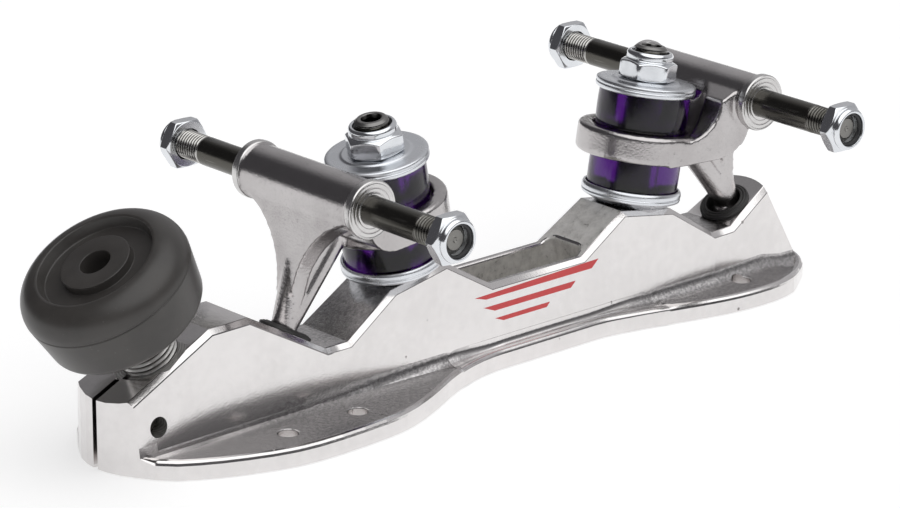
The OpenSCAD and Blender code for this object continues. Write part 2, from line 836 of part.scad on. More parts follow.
module cushion(from, to) {
    bore = kingpin_d / 2 + soft;
    color("indigo") on_kingpin() rotate_extrude() polygon([
        [bore, from], [cushion_r - cushion_edge, from], [cushion_r, from + cushion_edge],
        [cushion_r, to - cushion_edge], [cushion_r - cushion_edge, to], [bore, to]
    ]);
}
module lower_cushion() {
    cushion(lower_floor + seat_gap, ring_low + ring_seat - seat_gap);
}
module upper_cushion() {
    cushion(ring_top - ring_seat + seat_gap, upper_floor - seat_gap);
}

// Cup with a round seat for the ball and a mouth that lets the pivot stem tilt
module pivot_cup() {
    mouth_len = cup_len + cup_flange_t;
    color("#262626") difference() {
        on_pivot_face() {
            translate([0, 0, -cup_len]) cylinder(r = cup_r, h = cup_len + cup_flange_t);
            translate([0, 0, fit]) cylinder(r = cup_flange_r, h = cup_flange_t - fit);
        }
        on_pivot_stem() {
            sphere(cup_bore);
            cylinder(r1 = cup_bore, r2 = cup_bore + mouth_len * tan(cup_mouth), h = mouth_len);
        }
    }
}

plate();
pinch_bolt();
toe_stop_rubber();
toe_stop_stem();
at_front() hanger();  // front_hanger
at_front() axle();  // front_axle
at_front() axle_nuts();  // front_axle_nuts
at_front() axle_nut_inserts();  // front_axle_nut_inserts
at_front() kingpin();  // front_kingpin
at_front() kingpin_nut();  // front_kingpin_nut
at_front() kingpin_nut_insert();  // front_kingpin_nut_insert
at_front() upper_retainer();  // front_upper_retainer
at_front() upper_cushion();  // front_upper_cushion
at_front() lower_cushion();  // front_lower_cushion
at_front() lower_retainer();  // front_lower_retainer
at_front() pivot_cup();  // front_pivot_cup
at_rear() hanger();  // rear_hanger
at_rear() axle();  // rear_axle
at_rear() axle_nuts();  // rear_axle_nuts
at_rear() axle_nut_inserts();  // rear_axle_nut_inserts
at_rear() kingpin();  // rear_kingpin
at_rear() kingpin_nut();  // rear_kingpin_nut
at_rear() kingpin_nut_insert();  // rear_kingpin_nut_insert
at_rear() upper_retainer();  // rear_upper_retainer
at_rear() upper_cushion();  // rear_upper_cushion
at_rear() lower_cushion();  // rear_lower_cushion
at_rear() lower_retainer();  // rear_lower_retainer
at_rear() pivot_cup();  // rear_pivot_cup
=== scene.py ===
import math

import bmesh
import bpy
from mathutils import Matrix, Vector


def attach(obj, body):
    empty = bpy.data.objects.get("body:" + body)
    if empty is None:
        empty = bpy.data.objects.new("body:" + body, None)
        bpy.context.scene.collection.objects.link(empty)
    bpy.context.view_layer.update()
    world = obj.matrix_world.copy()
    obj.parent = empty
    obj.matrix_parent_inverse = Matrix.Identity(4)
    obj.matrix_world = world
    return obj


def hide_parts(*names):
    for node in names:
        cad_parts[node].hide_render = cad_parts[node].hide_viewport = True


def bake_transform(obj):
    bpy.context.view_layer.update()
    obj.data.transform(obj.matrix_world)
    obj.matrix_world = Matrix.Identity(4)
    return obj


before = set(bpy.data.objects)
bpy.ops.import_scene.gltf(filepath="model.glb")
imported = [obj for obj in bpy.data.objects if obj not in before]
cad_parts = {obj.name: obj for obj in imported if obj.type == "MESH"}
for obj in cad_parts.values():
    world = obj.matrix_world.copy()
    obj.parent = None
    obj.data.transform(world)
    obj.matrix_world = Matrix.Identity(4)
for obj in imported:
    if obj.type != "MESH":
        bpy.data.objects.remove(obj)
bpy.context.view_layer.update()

scene = bpy.context.scene
MM = 0.001
TAU = 2 * math.pi

# Sizes in millimetres, as in the part's source
AXLE_X, AXLE_Z, AXLE_R, AXLE_HALF = 72.5, 60.0, 4.0, 56.4
AXLE_THREAD, AXLE_PITCH, BARREL_END = 44.4, 1.0, 24.29
NUT_FACE, AXLE_NUT_AF, AXLE_NUT_H = 52.7, 13.0, 5.8
HEX_SHARE, COLLAR_SHARE, LIP_W, SLACK = 0.68, 0.92, 1.3, 0.02
KINGPIN_X, SEAT_Z, LEAN, KINGPIN_R, KINGPIN_THREAD, KINGPIN_PITCH = 44.2, 30.7, 10.0, 4.75, 30.2, 1.25
KINGPIN_TOP, STACK_TOP, KINGPIN_NUT_AF, KINGPIN_NUT_H = 45.6, 36.0, 14.5, 8.0
FACE_X, FACE_Z, FACE_SLOPE = 82.728, 22.267, 29.3
STEM_X, STEM_Z, STEM_TILT, STEM_R, STEM_OUT, STEM_PITCH = -128.4, 27.431, 30.0, 7.95, 12.8, 1.5
RUBBER_H, PARTING_H, SHOULDER_R = 20.9, 13.2, 7.2
SPOT_DEPTH, SPOT_R = 0.6, 10.8
PINCH_X, PINCH_Z, PINCH_R, PINCH_PITCH, PINCH_HOLE_R = -135.1, 12.0, 2.8, 0.8, 4.2
TOP_H, SPINE_HALF, WALL_DRAFT = 33.3, 9.5, 4.3
NOSE_FLARE, HEEL_TAPER, CREASE_X = 1.05, 3.5, 67.5
TROUGH_X, TROUGH_Y, TROUGH_BRIM, PIVOT_FOOT, WALL_FOOT = 20.2, 7.0, 31.0, 76.5, 17.0
NOSE_X, FRONT_WIDE, FRONT_HALF, FRONT_T = -146.409, -75.5, 37.3, 5.8
WAIST_FRONT, WAIST_REAR, WAIST_HALF = -16.5, 15.5, 12.4
HEEL_X, REAR_WIDE, REAR_HALF, REAR_T = 108.0, 77.5, 22.9, 3.8
THIN_FROM, THIN_TO, RIM_W, RIM_D, COVE_R, COVE_TOP = -92.5, -27.5, 2.2, 1.2, 3.5, 6.1
SOLE_SCREWS = ((-100.5, 22.5), (-76.5, 22.5), (75.0, 15.0))
SCREW_HOLE_R = 2.8

# How far the sole's outline, measured along its lower edge, stands outside the solid's, as (x, shift)
SOLE_SHIFT = (
    (-146.5, 0.0), (-142, 0.4), (-137, 1.3), (-130, 0.7), (-120, 0.2), (-110, 0.1), (-103, -0.3),
    (-95, -1.3), (-85, -2.6), (-74, -3.6), (-67, -3.6), (-58, -3.0), (-50, -1.9), (-42, -0.7),
    (-35, 0.6), (-29, 1.7), (-22, 2.5), (-15, 2.7), (15, 2.7), (22, 2.7), (30, 3.1),
    (45, 3.3), (60, 3.3), (72, 2.9), (84, 2.4), (94, 1.6), (107, 0.0)
)
# Measured height of the rim, and the width of its rounded edge, as (x, size)
RIM_LINE = ((-100, 5.3), (-40, 5.3), (-20, 5.4), (15, 5.4), (40, 5.1), (100, 5.05))
EDGE_LINE = ((-100, 1.4), (-60, 1.4), (-25, 1.55), (15, 1.55), (40, 1.3), (100, 1.2))
FLOOR_DROP, COVE_END = 0.7, 8.0
# The waist is a piece of its own, and the heel keeps the solid's shape
WAIST_FROM, WAIST_TO, WAIST_FADE = -35.0, 42.0, 8.0
HEEL_FROM, HEEL_TO = 88.0, 97.0
# Where the outline turns in towards the toe and the heel, and how fast the rim's inner edge leans there
TOE_TURN, TOE_LEAN, HEEL_TURN, HEEL_LEAN = -118.0, 0.045, 86.0, 0.06
CORNER_FROM, CORNER_TO, RIM_SIDE, RIM_HEEL, STEP_END = -140.0, 106.0, 13.0, 100.0, 92.0
SLICE_FROM, SLICE_STEP, SLICES, FLANGE_TOP = -140, 4, 60, 6.2
# Widths of the other rounded edges
WIDEST_EDGE, BRIM_EDGE, STEP_EDGE, HOLE_EDGE = 1.8, 0.7, 0.4, 0.35


class Socket:
    """A socket of one finish. Sums written on it add Math nodes, and add() puts in any other node."""

    def __init__(self, tree, socket=None):
        self.tree = tree
        self.socket = socket

    def add(self, kind, settings=None, sockets=None, out=None):
        node = self.tree.nodes.new("ShaderNode" + kind)
        for name, value in (settings or {}).items():
            setattr(node, name, value)
        for name, value in (sockets or {}).items():
            if isinstance(name, int):
                slot = node.inputs[name]
            else:
                slot = next(s for s in node.inputs if s.enabled and s.name == name)
            if isinstance(value, Socket):
                self.tree.links.new(value.socket, slot)
            else:
                slot.default_value = value
        found = [s for s in node.outputs if s.enabled and out in (None, s.name)]
        return Socket(self.tree, found[0] if found else None)

    def sum(self, operation, *values):
        return self.add("Math", {"operation": operation}, dict(enumerate(values)))

    def __add__(self, other):
        return self.sum("ADD", self, other)

    def __radd__(self, other):
        return self.sum("ADD", other, self)

    def __sub__(self, other):
        return self.sum("SUBTRACT", self, other)

    def __rsub__(self, other):
        return self.sum("SUBTRACT", other, self)

    def __mul__(self, other):
        return self.sum("MULTIPLY", self, other)

    def __rmul__(self, other):
        return self.sum("MULTIPLY", other, self)

    def __truediv__(self, other):
        return self.sum("DIVIDE", self, other)

    def __rtruediv__(self, other):
        return self.sum("DIVIDE", other, self)

    def __pow__(self, other):
        return self.sum("POWER", self, other)

    def ease(self, low, high):
        """0 below low and 1 above high, turning smoothly between them."""
        ends = {"Value": self, "From Min": low, "From Max": high}
        return self.add("MapRange", {"interpolation_type": "SMOOTHSTEP"}, ends)

    def ease_mm(self, low, high):
        """The same, with the ends in millimetres."""
        return self.ease(low * MM, high * MM)

    def blend(self, first, second):
        """The first colour where this is 0, the second where it is 1."""
        ends = {"Factor": self, "A": first, "B": second}
        return self.add("Mix", {"data_type": "RGBA"}, ends, "Result")

    def noise(self, scale, detail=3.0, roughness=0.55):
        sockets = {"Vector": self, "Scale": scale, "Detail": detail, "Roughness": roughness}
        return self.add("TexNoise", None, sockets)

    def specks(self, scale, size):
        """1 in small spots, one or none in each cell."""
        near = self.add("TexVoronoi", None, {"Vector": self, "Scale": scale, "Randomness": 1.0}, "Distance")
        return 1 - near.ease(size * 0.5, size)

    def stretched(self, x, y, z):
        return self.add("Mapping", None, {"Vector": self, "Scale": (x, y, z)})

    def part(self, axis):
        return self.add("SeparateXYZ", None, {"Vector": self}, axis)

    def radius(self):
        x, y = self.part("X"), self.part("Y")
        return (x * x + y * y) ** 0.5

    def sine(self):
        return self.sum("SINE", self)


def rgb(r, g, b):
    return (r, g, b, 1.0)


def finish(name, design):
    """A finish: design gets the object's own coordinates in metres and returns the shader's sockets,
    with the height of its relief in metres under Height."""
    material = bpy.data.materials.new(name)
    material.use_nodes = True
    tree = material.node_tree
    tree.nodes.clear()
    pen = Socket(tree)
    sockets = design(pen.add("TexCoord", out="Object"))
    height = sockets.pop("Height", None)
    if height is not None:
        sockets["Normal"] = pen.add("Bump", None, {"Strength": 1.0, "Distance": 1.0, "Height": height})
    shader = pen.add("BsdfPrincipled", None, sockets)
    pen.add("OutputMaterial", None, {"Surface": shader})
    return material


def polished_casting(place):
    cloud = place.noise(38, 4)
    mottle = place.noise(360, 3, 0.6)
    grain = place.noise(1900, 2)
    wave = place.noise(75, 2)
    pits = place.specks(105, 0.06) * cloud.ease(0.48, 0.6)
    tone = (0.6 * cloud + 0.4 * mottle).ease(0.34, 0.66)
    metal = tone.blend(rgb(0.765, 0.745, 0.74), rgb(0.705, 0.685, 0.68))
    return {
        "Base Color": pits.blend(metal, rgb(0.22, 0.21, 0.2)),
        "Metallic": 1.0,
        "Roughness": 0.1 + 0.1 * cloud + 0.3 * pits,
        "Height": 0.000014 * grain + 0.000014 * mottle + 0.00003 * wave - 0.00006 * pits,
    }


def dulled(place, dull):
    """The same casting, left grainy where dull is 1."""
    polished = polished_casting(place)
    grain = place.noise(1100, 3, 0.65)
    metal = grain.ease(0.35, 0.65).blend(rgb(0.54, 0.525, 0.525), rgb(0.36, 0.35, 0.35))
    return {
        "Base Color": dull.blend(polished["Base Color"], metal),
        "Metallic": 1.0,
        "Roughness": polished["Roughness"] + 0.1 * dull,
        "Height": polished["Height"] + 0.00004 * grain * dull,
    }


def inner_corner(place):
    """Dull between rim and spine, apart from the toe and the waist."""
    along = place.part("X")
    waist = along.ease_mm(-36, -20) * (1 - along.ease_mm(26, 42))
    return dulled(place, along.ease_mm(-125, -90) * (1 - waist))


def spine_top(place):
    return dulled(place, place.noise(60, 3).ease(0.15, 0.45))


def spot_face(place):
    stem = {
        "Vector": place, "Location": (STEM_X * MM, 0, STEM_Z * MM), "Rotation": (0, math.radians(-STEM_TILT), 0)
    }
    round_stem = place.add("Mapping", {"vector_type": "TEXTURE"}, stem)
    cloud = place.noise(420, 3)
    ring = (round_stem.radius() * 8200 + 2.4 * cloud).sine()
    tone = (0.5 * cloud + 0.25 * ring).ease(-0.1, 0.6)
    return {
        "Base Color": tone.blend(rgb(0.82, 0.81, 0.80), rgb(0.56, 0.55, 0.54)),
        "Metallic": 1.0,
        "Roughness": 0.34 + 0.16 * cloud,
        "Height": 0.00003 * ring + 0.00001 * place.noise(1900, 2),
    }


def sand_cast(place):
    lump = place.noise(260, 5, 0.65)
    grit = place.noise(900, 4, 0.7)
    hollow = (0.6 * lump + 0.4 * grit).ease(0.56, 0.66)
    metal = lump.ease(0.3, 0.7).blend(rgb(0.86, 0.845, 0.82), rgb(0.62, 0.605, 0.585))
    return {
        "Base Color": hollow.blend(metal, rgb(0.3, 0.29, 0.27)),
        "Metallic": 0.9,
        "Roughness": 0.46 + 0.2 * lump,
        "Height": 0.0003 * lump + 0.00007 * grit - 0.00006 * hollow,
    }


def tumbled_casting(place):
    cloud = place.noise(70, 4)
    grain = place.noise(1500, 3, 0.6)
    dents = place.specks(330, 0.16) * cloud.ease(0.42, 0.6)
    metal = cloud.ease(0.3, 0.72).blend(rgb(0.53, 0.51, 0.51), rgb(0.455, 0.435, 0.435))
    return {
        "Base Color": (dents * 0.4 + grain.ease(0.52, 0.8) * 0.5).blend(metal, rgb(0.32, 0.31, 0.305)),
        "Metallic": 1.0,
        "Roughness": 0.15 + 0.1 * cloud,
        "Height": 0.00005 * grain - 0.00003 * dents,
    }


def turned_face(place):
    ring = (place.radius() * 9000).sine()
    cloud = place.noise(300, 3)
    return {
        "Base Color": cloud.blend(rgb(0.70, 0.69, 0.685), rgb(0.58, 0.57, 0.565)),
        "Metallic": 1.0,
        "Roughness": 0.2 + 0.12 * cloud,
        "Height": 0.000012 * ring + 0.000006 * place.noise(2500, 2),
    }


def zinc_nut(place):
    cloud = place.noise(240, 3)
    hairs = place.stretched(1, 1, 0.08).noise(3200, 2)
    return {
        "Base Color": cloud.blend(rgb(0.80, 0.82, 0.845), rgb(0.66, 0.68, 0.71)),
        "Metallic": 1.0,
        "Roughness": 0.1 + 0.12 * cloud,
        "Height": 0.0000028 * hairs + 0.000012 * cloud,
    }


def zinc_washer(place):
    lines = (place.radius() * 7000).sine()
    cloud = place.noise(160, 4)
    return {
        "Base Color": cloud.blend(rgb(0.76, 0.78, 0.81), rgb(0.63, 0.65, 0.685)),
        "Metallic": 1.0,
        "Roughness": 0.2 + 0.16 * cloud,
        "Height": 0.000003 * lines + 0.00001 * cloud,
    }


def black_oxide(place):
    rubbed = place.stretched(1, 1, 0.06).noise(1500, 3, 0.6)
    cloud = place.noise(200, 3)
    top = place.part("Z").ease_mm(KINGPIN_TOP - 1.4, KINGPIN_TOP - 1.2)
    oxide = rubbed.ease(0.62, 0.74).blend(rgb(0.08, 0.077, 0.068), rgb(0.2, 0.195, 0.175))
    crest = place.radius().ease_mm(KINGPIN_R - 0.45, KINGPIN_R - 0.15)
    # Painted shade: below the thread crests, in the grooves, the socket and the lower end, the steel is
    # darkened to near black.
    painted_recess_shade = (1 - crest) * (1 - top)
    metal = (0.9 * top).blend(oxide, rgb(0.25, 0.245, 0.24))
    return {
        "Base Color": painted_recess_shade.blend(metal, rgb(0.02, 0.019, 0.018)),
        "Metallic": 1.0,
        "Roughness": 0.18 + 0.14 * cloud + 0.12 * top,
        "Height": 0.000004 * rubbed + 0.00003 * cloud * top,
    }


def axle_steel(place):
    near = place.part("Z")
    far = 0 - near
    rubbed = place.stretched(1, 1, 0.06).noise(1500, 3, 0.6)
    cloud = place.noise(200, 3)
    oxide = rubbed.ease(0.58, 0.74).blend(rgb(0.095, 0.091, 0.081), rgb(0.22, 0.215, 0.195))
    crest = place.radius().ease_mm(AXLE_R - 0.48, AXLE_R - 0.12)
    tip = near.ease_mm(AXLE_HALF - 1.2, AXLE_HALF - 1.1) + far.ease_mm(AXLE_HALF - 1.2, AXLE_HALF - 1.1)
    # Painted highlight: the crests of the far thread are lightened towards bare grey.
    painted_far_highlight = far.ease_mm(AXLE_THREAD - 0.5, AXLE_THREAD - 0.1) * crest
    rubbed_thread = near.ease_mm(AXLE_THREAD - 0.5, AXLE_THREAD - 0.1) * crest * cloud.ease(0.35, 0.55)
    # Bare steel at the tip and on rubbed near crests, plus the painted highlight on the far crests.
    bare_metal_and_painted_highlight = 0.85 * painted_far_highlight + 0.3 * tip + 0.14 * rubbed_thread
    # Painted shade: the thread grooves are darkened to near black.
    groove = (1 - crest) * (1 - tip)
    return {
        "Base Color": groove.blend(bare_metal_and_painted_highlight.blend(oxide, rgb(0.62, 0.61, 0.59)), rgb(0.02, 0.019, 0.017)),
        "Metallic": 1.0,
        "Roughness": 0.18 + 0.14 * cloud + 0.16 * tip,
        "Height": 0.000004 * rubbed + 0.00002 * cloud * tip,
    }


def stem_steel(place):
    cloud = place.noise(260, 4)
    # Painted shade: the thread valleys are darkened to near black.
    deep = 1 - place.radius().ease_mm(STEM_R - 0.65, STEM_R - 0.25)
    valley = deep * (1 - place.part("Z").ease_mm(-1.2, -0.8))
    metal = cloud.ease(0.3, 0.7).blend(rgb(0.74, 0.73, 0.72), rgb(0.52, 0.51, 0.5))
    return {
        "Base Color": valley.blend(metal, rgb(0.06, 0.056, 0.05)),
        "Metallic": 0.8,
        "Roughness": 0.34 + 0.18 * cloud,
        "Height": 0.00002 * place.noise(1600, 3),
    }


def pinch_steel(place):
    cloud = place.noise(240, 3)
    # Painted shade: the screw's near end, down inside the hole, is darkened to near black.
    painted_hole_shade = 1 - place.part("Z").ease_mm(-2, 3)
    zinc = cloud.blend(rgb(0.80, 0.82, 0.845), rgb(0.66, 0.68, 0.71))
    return {
        "Base Color": painted_hole_shade.blend(zinc, rgb(0.055, 0.052, 0.048)),
        "Metallic": 1.0,
        "Roughness": 0.16 + 0.12 * cloud + 0.3 * painted_hole_shade,
        "Height": 0.000012 * cloud,
    }


def nylon_ring(place):
    cloud = place.noise(700, 3)
    return {
        "Base Color": cloud.blend(rgb(0.012, 0.012, 0.013), rgb(0.03, 0.03, 0.032)),
        "Roughness": 0.36 + 0.2 * cloud,
        "Height": 0.00001 * cloud,
    }


def urethane(place):
    cloud = place.noise(120, 3)
    return {
        "Base Color": cloud.blend(rgb(0.075, 0.011, 0.18), rgb(0.055, 0.008, 0.14)),
        "Roughness": 0.12 + 0.1 * cloud,
        "Transmission Weight": 1.0,
        "IOR": 1.48,
        "Height": 0.00002 * cloud,
    }


def stop_rubber(place):
    cloud = place.noise(90, 4)
    skin = place.noise(2600, 3)
    dust = place.specks(520, 0.12) * cloud.ease(0.45, 0.65)
    body = cloud.ease(0.3, 0.7).blend(rgb(0.036, 0.033, 0.031), rgb(0.05, 0.046, 0.043))
    return {
        "Base Color": dust.blend(body, rgb(0.085, 0.08, 0.076)),
        "Roughness": 0.29 + 0.12 * cloud,
        "Height": 0.000007 * skin + 0.00002 * cloud,
    }


def cup_rubber(place):
    cloud = place.noise(400, 3)
    return {
        "Base Color": cloud.blend(rgb(0.014, 0.014, 0.014), rgb(0.035, 0.033, 0.032)),
        "Roughness": 0.34 + 0.2 * cloud,
        "Height": 0.00001 * cloud,
    }


def red_paint(place):
    cloud = place.noise(180, 3)
    return {
        "Base Color": cloud.blend(rgb(0.62, 0.06, 0.062), rgb(0.52, 0.04, 0.045)),
        "Roughness": 0.3 + 0.12 * cloud,
        "Height": 0.000006 * cloud,
    }


def pale_floor(place):
    cloud = place.noise(3, 2)
    return {
        "Base Color": cloud.blend(rgb(0.56, 0.56, 0.56), rgb(0.54, 0.54, 0.54)),
        "Roughness": 0.8,
        "Emission Color": rgb(1.0, 1.0, 1.0),
        "Emission Strength": 0.58,
    }


POLISHED = finish("polished_casting", polished_casting)
INNER_CORNER = finish("inner_corner", inner_corner)
SPINE_TOP = finish("spine_top", spine_top)
SAND_CAST = finish("sand_cast", sand_cast)
TUMBLED = finish("tumbled_casting", tumbled_casting)
SPOT_FACE = finish("spot_face", spot_face)
TURNED_FACE = finish("turned_face", turned_face)
ZINC_NUT = finish("zinc_nut", zinc_nut)
ZINC_WASHER = finish("zinc_washer", zinc_washer)
BLACK_OXIDE = finish("black_oxide", black_oxide)
AXLE_STEEL = finish("axle_steel", axle_steel)
STEM_STEEL = finish("stem_steel", stem_steel)
PINCH_STEEL = finish("pinch_steel", pinch_steel)
NYLON = finish("nylon_ring", nylon_ring)
URETHANE = finish("urethane", urethane)
STOP_RUBBER = finish("stop_rubber", stop_rubber)
CUP_RUBBER = finish("cup_rubber", cup_rubber)
RED_PAINT = finish("red_paint", red_paint)
FLOOR = finish("pale_floor", pale_floor)


def unit(value):
    """A value kept between 0 and 1."""
    return min(max(value, 0.0), 1.0)


def upright(x, z, lean):
    """A frame on the centre plane whose z axis leans towards +x by that many degrees."""
    return Matrix.Translation((x * MM, 0, z * MM)) @ Matrix.Rotation(math.radians(lean), 4, "Y")


def across(x, z):
    """A frame whose z axis points to the near side."""
    return Matrix.Translation((x * MM, 0, z * MM)) @ Matrix.Rotation(math.radians(90), 4, "X")


def eased(corners, closed=False, parts=4):
    """An outline of (r, z) points; a corner given as (r, z, soft) is rounded over that length of its sides."""
    points = []
    count = len(corners)
    for i, corner in enumerate(corners):
        here = Vector(corner[:2])
        if len(corner) < 3 or (not closed and i in (0, count - 1)):
            points.append(tuple(here))
            continue
        before = Vector(corners[i - 1][:2]) - here
        after = Vector(corners[(i + 1) % count][:2]) - here
        start = here + before.normalized() * min(corner[2], before.length * 0.49)
        end = here + after.normalized() * min(corner[2], after.length * 0.49)
        for k in range(parts + 1):
            t = k / parts
            points.append(tuple(start * (1 - t) ** 2 + here * 2 * t * (1 - t) + end * t * t))
    return points


def revolve(outline, closed=False, steps=96, form=None):
    """Turns an outline about z. A form may change each radius by its height and angle."""
    points, faces, rows = [], [], []
    for r, z in outline:
        if r < 1e-6:
            rows.append([len(points)])
            points.append((0.0, 0.0, z))
            continue
        row = []
        for i in range(steps):
            a = TAU * i / steps
            q = form(r, z, a) if form else r
            row.append(len(points))
            points.append((q * math.cos(a), q * math.sin(a), z))
        rows.append(row)
    for low, high in zip(rows, rows[1:] + rows[:1] if closed else rows[1:]):
        for i in range(steps):
            j = i + 1
            ring = (low[i % len(low)], low[j % len(low)], high[j % len(high)], high[i % len(high)])
            if len(set(ring)) > 2:
                faces.append(tuple(dict.fromkeys(ring)))
    return points, faces


def joined(*shapes):
    """Several shapes as one."""
    points, faces = [], []
    for new_points, new_faces in shapes:
        start = len(points)
        points += new_points
        faces += [tuple(i + start for i in face) for face in new_faces]
    return points, faces


def shifted(shape, z=0.0, flip=False, turn=0.0):
    """A shape moved along z, turned about it by degrees, or flipped end for end first."""
    a = math.radians(turn)
    moved = []
    for px, py, pz in shape[0]:
        qx, qy = px * math.cos(a) - py * math.sin(a), px * math.sin(a) + py * math.cos(a)
        moved.append((qx, qy, z - pz if flip else z + pz))
    faces = [tuple(reversed(face)) for face in shape[1]] if flip else shape[1]
    return moved, faces


def thread(pitch, depth, *zones):
    """A form with a helical groove between each zone's two heights."""

    def form(r, z, a):
        for low, high in zones:
            if low <= z <= high:
                turn = (z / pitch - a / TAU) % 1
                fade = min(1.0, (z - low) / pitch, (high - z) / pitch + 0.3)
                return r - depth * fade * abs(2 * turn - 1)
        return r

    return form


def thread_rows(r, low, high, pitch):
    """Points close enough together along a thread to show its groove."""
    count = math.ceil((high - low) / pitch * 8)
    return [(r, low + (high - low) * i / count) for i in range(count + 1)]


def hexagon(flats, low, high):
    """A form that cuts the radius down to a hexagon with soft corners between two heights."""
    power = 56

    def form(r, z, a):
        if not low <= z <= high:
            return r
        near = sum(max(0.0, math.cos(a - math.radians(30 + 60 * k))) ** power for k in range(6))
        flat = flats / 2 * near ** (-1 / power)
        return (r ** -power + flat ** -power) ** (-1 / power)

    return form


def add_object(name, mesh, place=None):
    obj = bpy.data.objects.new(name, mesh)
    scene.collection.objects.link(obj)
    if place is not None:
        obj.matrix_world = place
    return obj


def made(name, shape, material, place=None, sharp=32):
    """An object with a shape in millimetres; edges above that many degrees stay sharp."""
    mesh = bpy.data.meshes.new(name)
    mesh.from_pydata([Vector(p) * MM for p in shape[0]], [], shape[1])
    work = bmesh.new()
    work.from_mesh(mesh)
    bmesh.ops.recalc_face_normals(work, faces=work.faces)
    work.to_mesh(mesh)
    work.free()
    mesh.materials.append(material)
    mesh.shade_smooth()
    mesh.set_sharp_from_angle(angle=math.radians(sharp))
    return add_object(name, mesh, place)


def fitted(obj, body, slot, *nodes):
    """Sets a piece on its body, for the nodes that it stands for; the slot is not used."""
    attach(obj, body)
    if nodes:
        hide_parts(*nodes)


def baked(obj):
    """Applies an object's modifiers to its mesh."""
    bpy.context.view_layer.update()
    mesh = bpy.data.meshes.new_from_object(obj.evaluated_get(bpy.context.evaluated_depsgraph_get()))
    obj.modifiers.clear()
    obj.data = mesh


def copied(name, node):
    """A welded copy of a node's mesh, with its flat faces whole again."""
    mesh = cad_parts[node].data.copy()
    work = bmesh.new()
    work.from_mesh(mesh)
    bmesh.ops.remove_doubles(work, verts=work.verts, dist=0.000002)
    bmesh.ops.dissolve_limit(work, angle_limit=math.radians(0.4), verts=work.verts, edges=work.edges)
    work.to_mesh(mesh)
    work.free()
    mesh.materials.clear()
    return add_object(name, mesh)


def spine_profile():
    """The spine's top line from toe to heel, as (x, z)."""
    toe = [(-152.0, 16.438), (-115.8, 33.3), (-102.384, 33.3), (-76.364, 18.7), (-72.5, 18.7), (-68.8, 18.7)]
    toe += [(-52.5, 29.2365), (-33.2, 32.6396), (-17.0, 23.0)]
    heel = [(17.0, 23.0), (33.2, 32.6396), (52.5, 29.2365), (CREASE_X, 19.54), (68.8, 18.7), (76.364, 18.7)]
    return toe + heel + [(98.0, 30.842)]


def wall_half(x, z):
    """Half the spine's width at a place on its walls."""
    half = SPINE_HALF + (TOP_H - z) * math.tan(math.radians(WALL_DRAFT))
    half += max(0.0, -AXLE_X - x) * math.tan(math.radians(NOSE_FLARE))
    return half - max(0.0, x - CREASE_X) * math.tan(math.radians(HEEL_TAPER))


def lowered(line, drop):
    """A line moved down square to itself, with its corners kept sharp."""
    normals = []
    for a, b in zip(line, line[1:]):
        run = (Vector(b) - Vector(a)).normalized()
        normals.append(Vector((run.y, -run.x)))
    moved = [Vector(line[0]) + normals[0] * drop]
    for point, n0, n1 in zip(line[1:-1], normals, normals[1:]):
        half = (n0 + n1).normalized()
        moved.append(Vector(point) + half * (drop / half.dot(n0)))
    return moved + [Vector(line[-1]) + normals[-1] * drop]


def edge_cutter(side):
    """The waste along one upper edge of the spine: a broad bevel with a narrow facet on each side."""
    line = spine_profile()
    facets = ((2.24, -0.22), (1.28, 0.11), (0.11, 1.28), (-0.48, 3.0))
    away = SPINE_HALF + 14
    loops = []
    for inset, drop in facets:
        loops.append([(p.x, side * (wall_half(p.x, p.y) - inset), p.y) for p in lowered(line, drop)])
    loops.append([(x, side * away, z) for x, y, z in loops[-1]])
    above = [(p.x, p.y) for p in lowered(line, -3.0)]
    loops.append([(x, side * away, z) for x, z in above])
    loops.append([(x, side * (wall_half(x, z) - facets[0][0]), z) for x, z in above])
    count = len(line)
    points = [p for loop in loops for p in loop]
    faces = []
    for k in range(len(loops)):
        n = (k + 1) % len(loops)
        for i in range(count - 1):
            faces.append((k * count + i, k * count + i + 1, n * count + i + 1, n * count + i))
    faces.append(tuple(k * count for k in reversed(range(len(loops)))))
    faces.append(tuple(k * count + count - 1 for k in range(len(loops))))
    return points, faces


def curve(stations, x):
    """The value at x of a smooth line through (x, value) stations."""
    last = len(stations) - 2
    i = next((k for k in range(last) if x < stations[k + 1][0]), last)
    slopes = []
    for k in (i, i + 1):
        (xa, a), (xb, b) = stations[max(k - 1, 0)], stations[min(k + 1, last + 1)]
        slopes.append((b - a) / (xb - xa))
    (x0, v0), (x1, v1) = stations[i], stations[i + 1]
    t = unit((x - x0) / (x1 - x0))
    bend = (x1 - x0) * t * (1 - t) * ((1 - t) * slopes[0] - t * slopes[1])
    return v0 + t * t * (3 - 2 * t) * (v1 - v0) + bend


def sole_half(x):
    """Half the width of the solid's sole outline."""
    front = x < WAIST_FRONT
    wide, half = (FRONT_WIDE, FRONT_HALF) if front else (REAR_WIDE, REAR_HALF)
    end, waist = (NOSE_X, WAIST_FRONT) if front else (HEEL_X, WAIST_REAR)
    if x < FRONT_WIDE or x > REAR_WIDE:
        return half * max(0.0, 1 - ((x - wide) / (end - wide)) ** 2) ** 0.5
    t = max(0.0, (x - waist) / (wide - waist))
    return WAIST_HALF + (half - WAIST_HALF) * (1 - math.cos(math.pi * t)) / 2


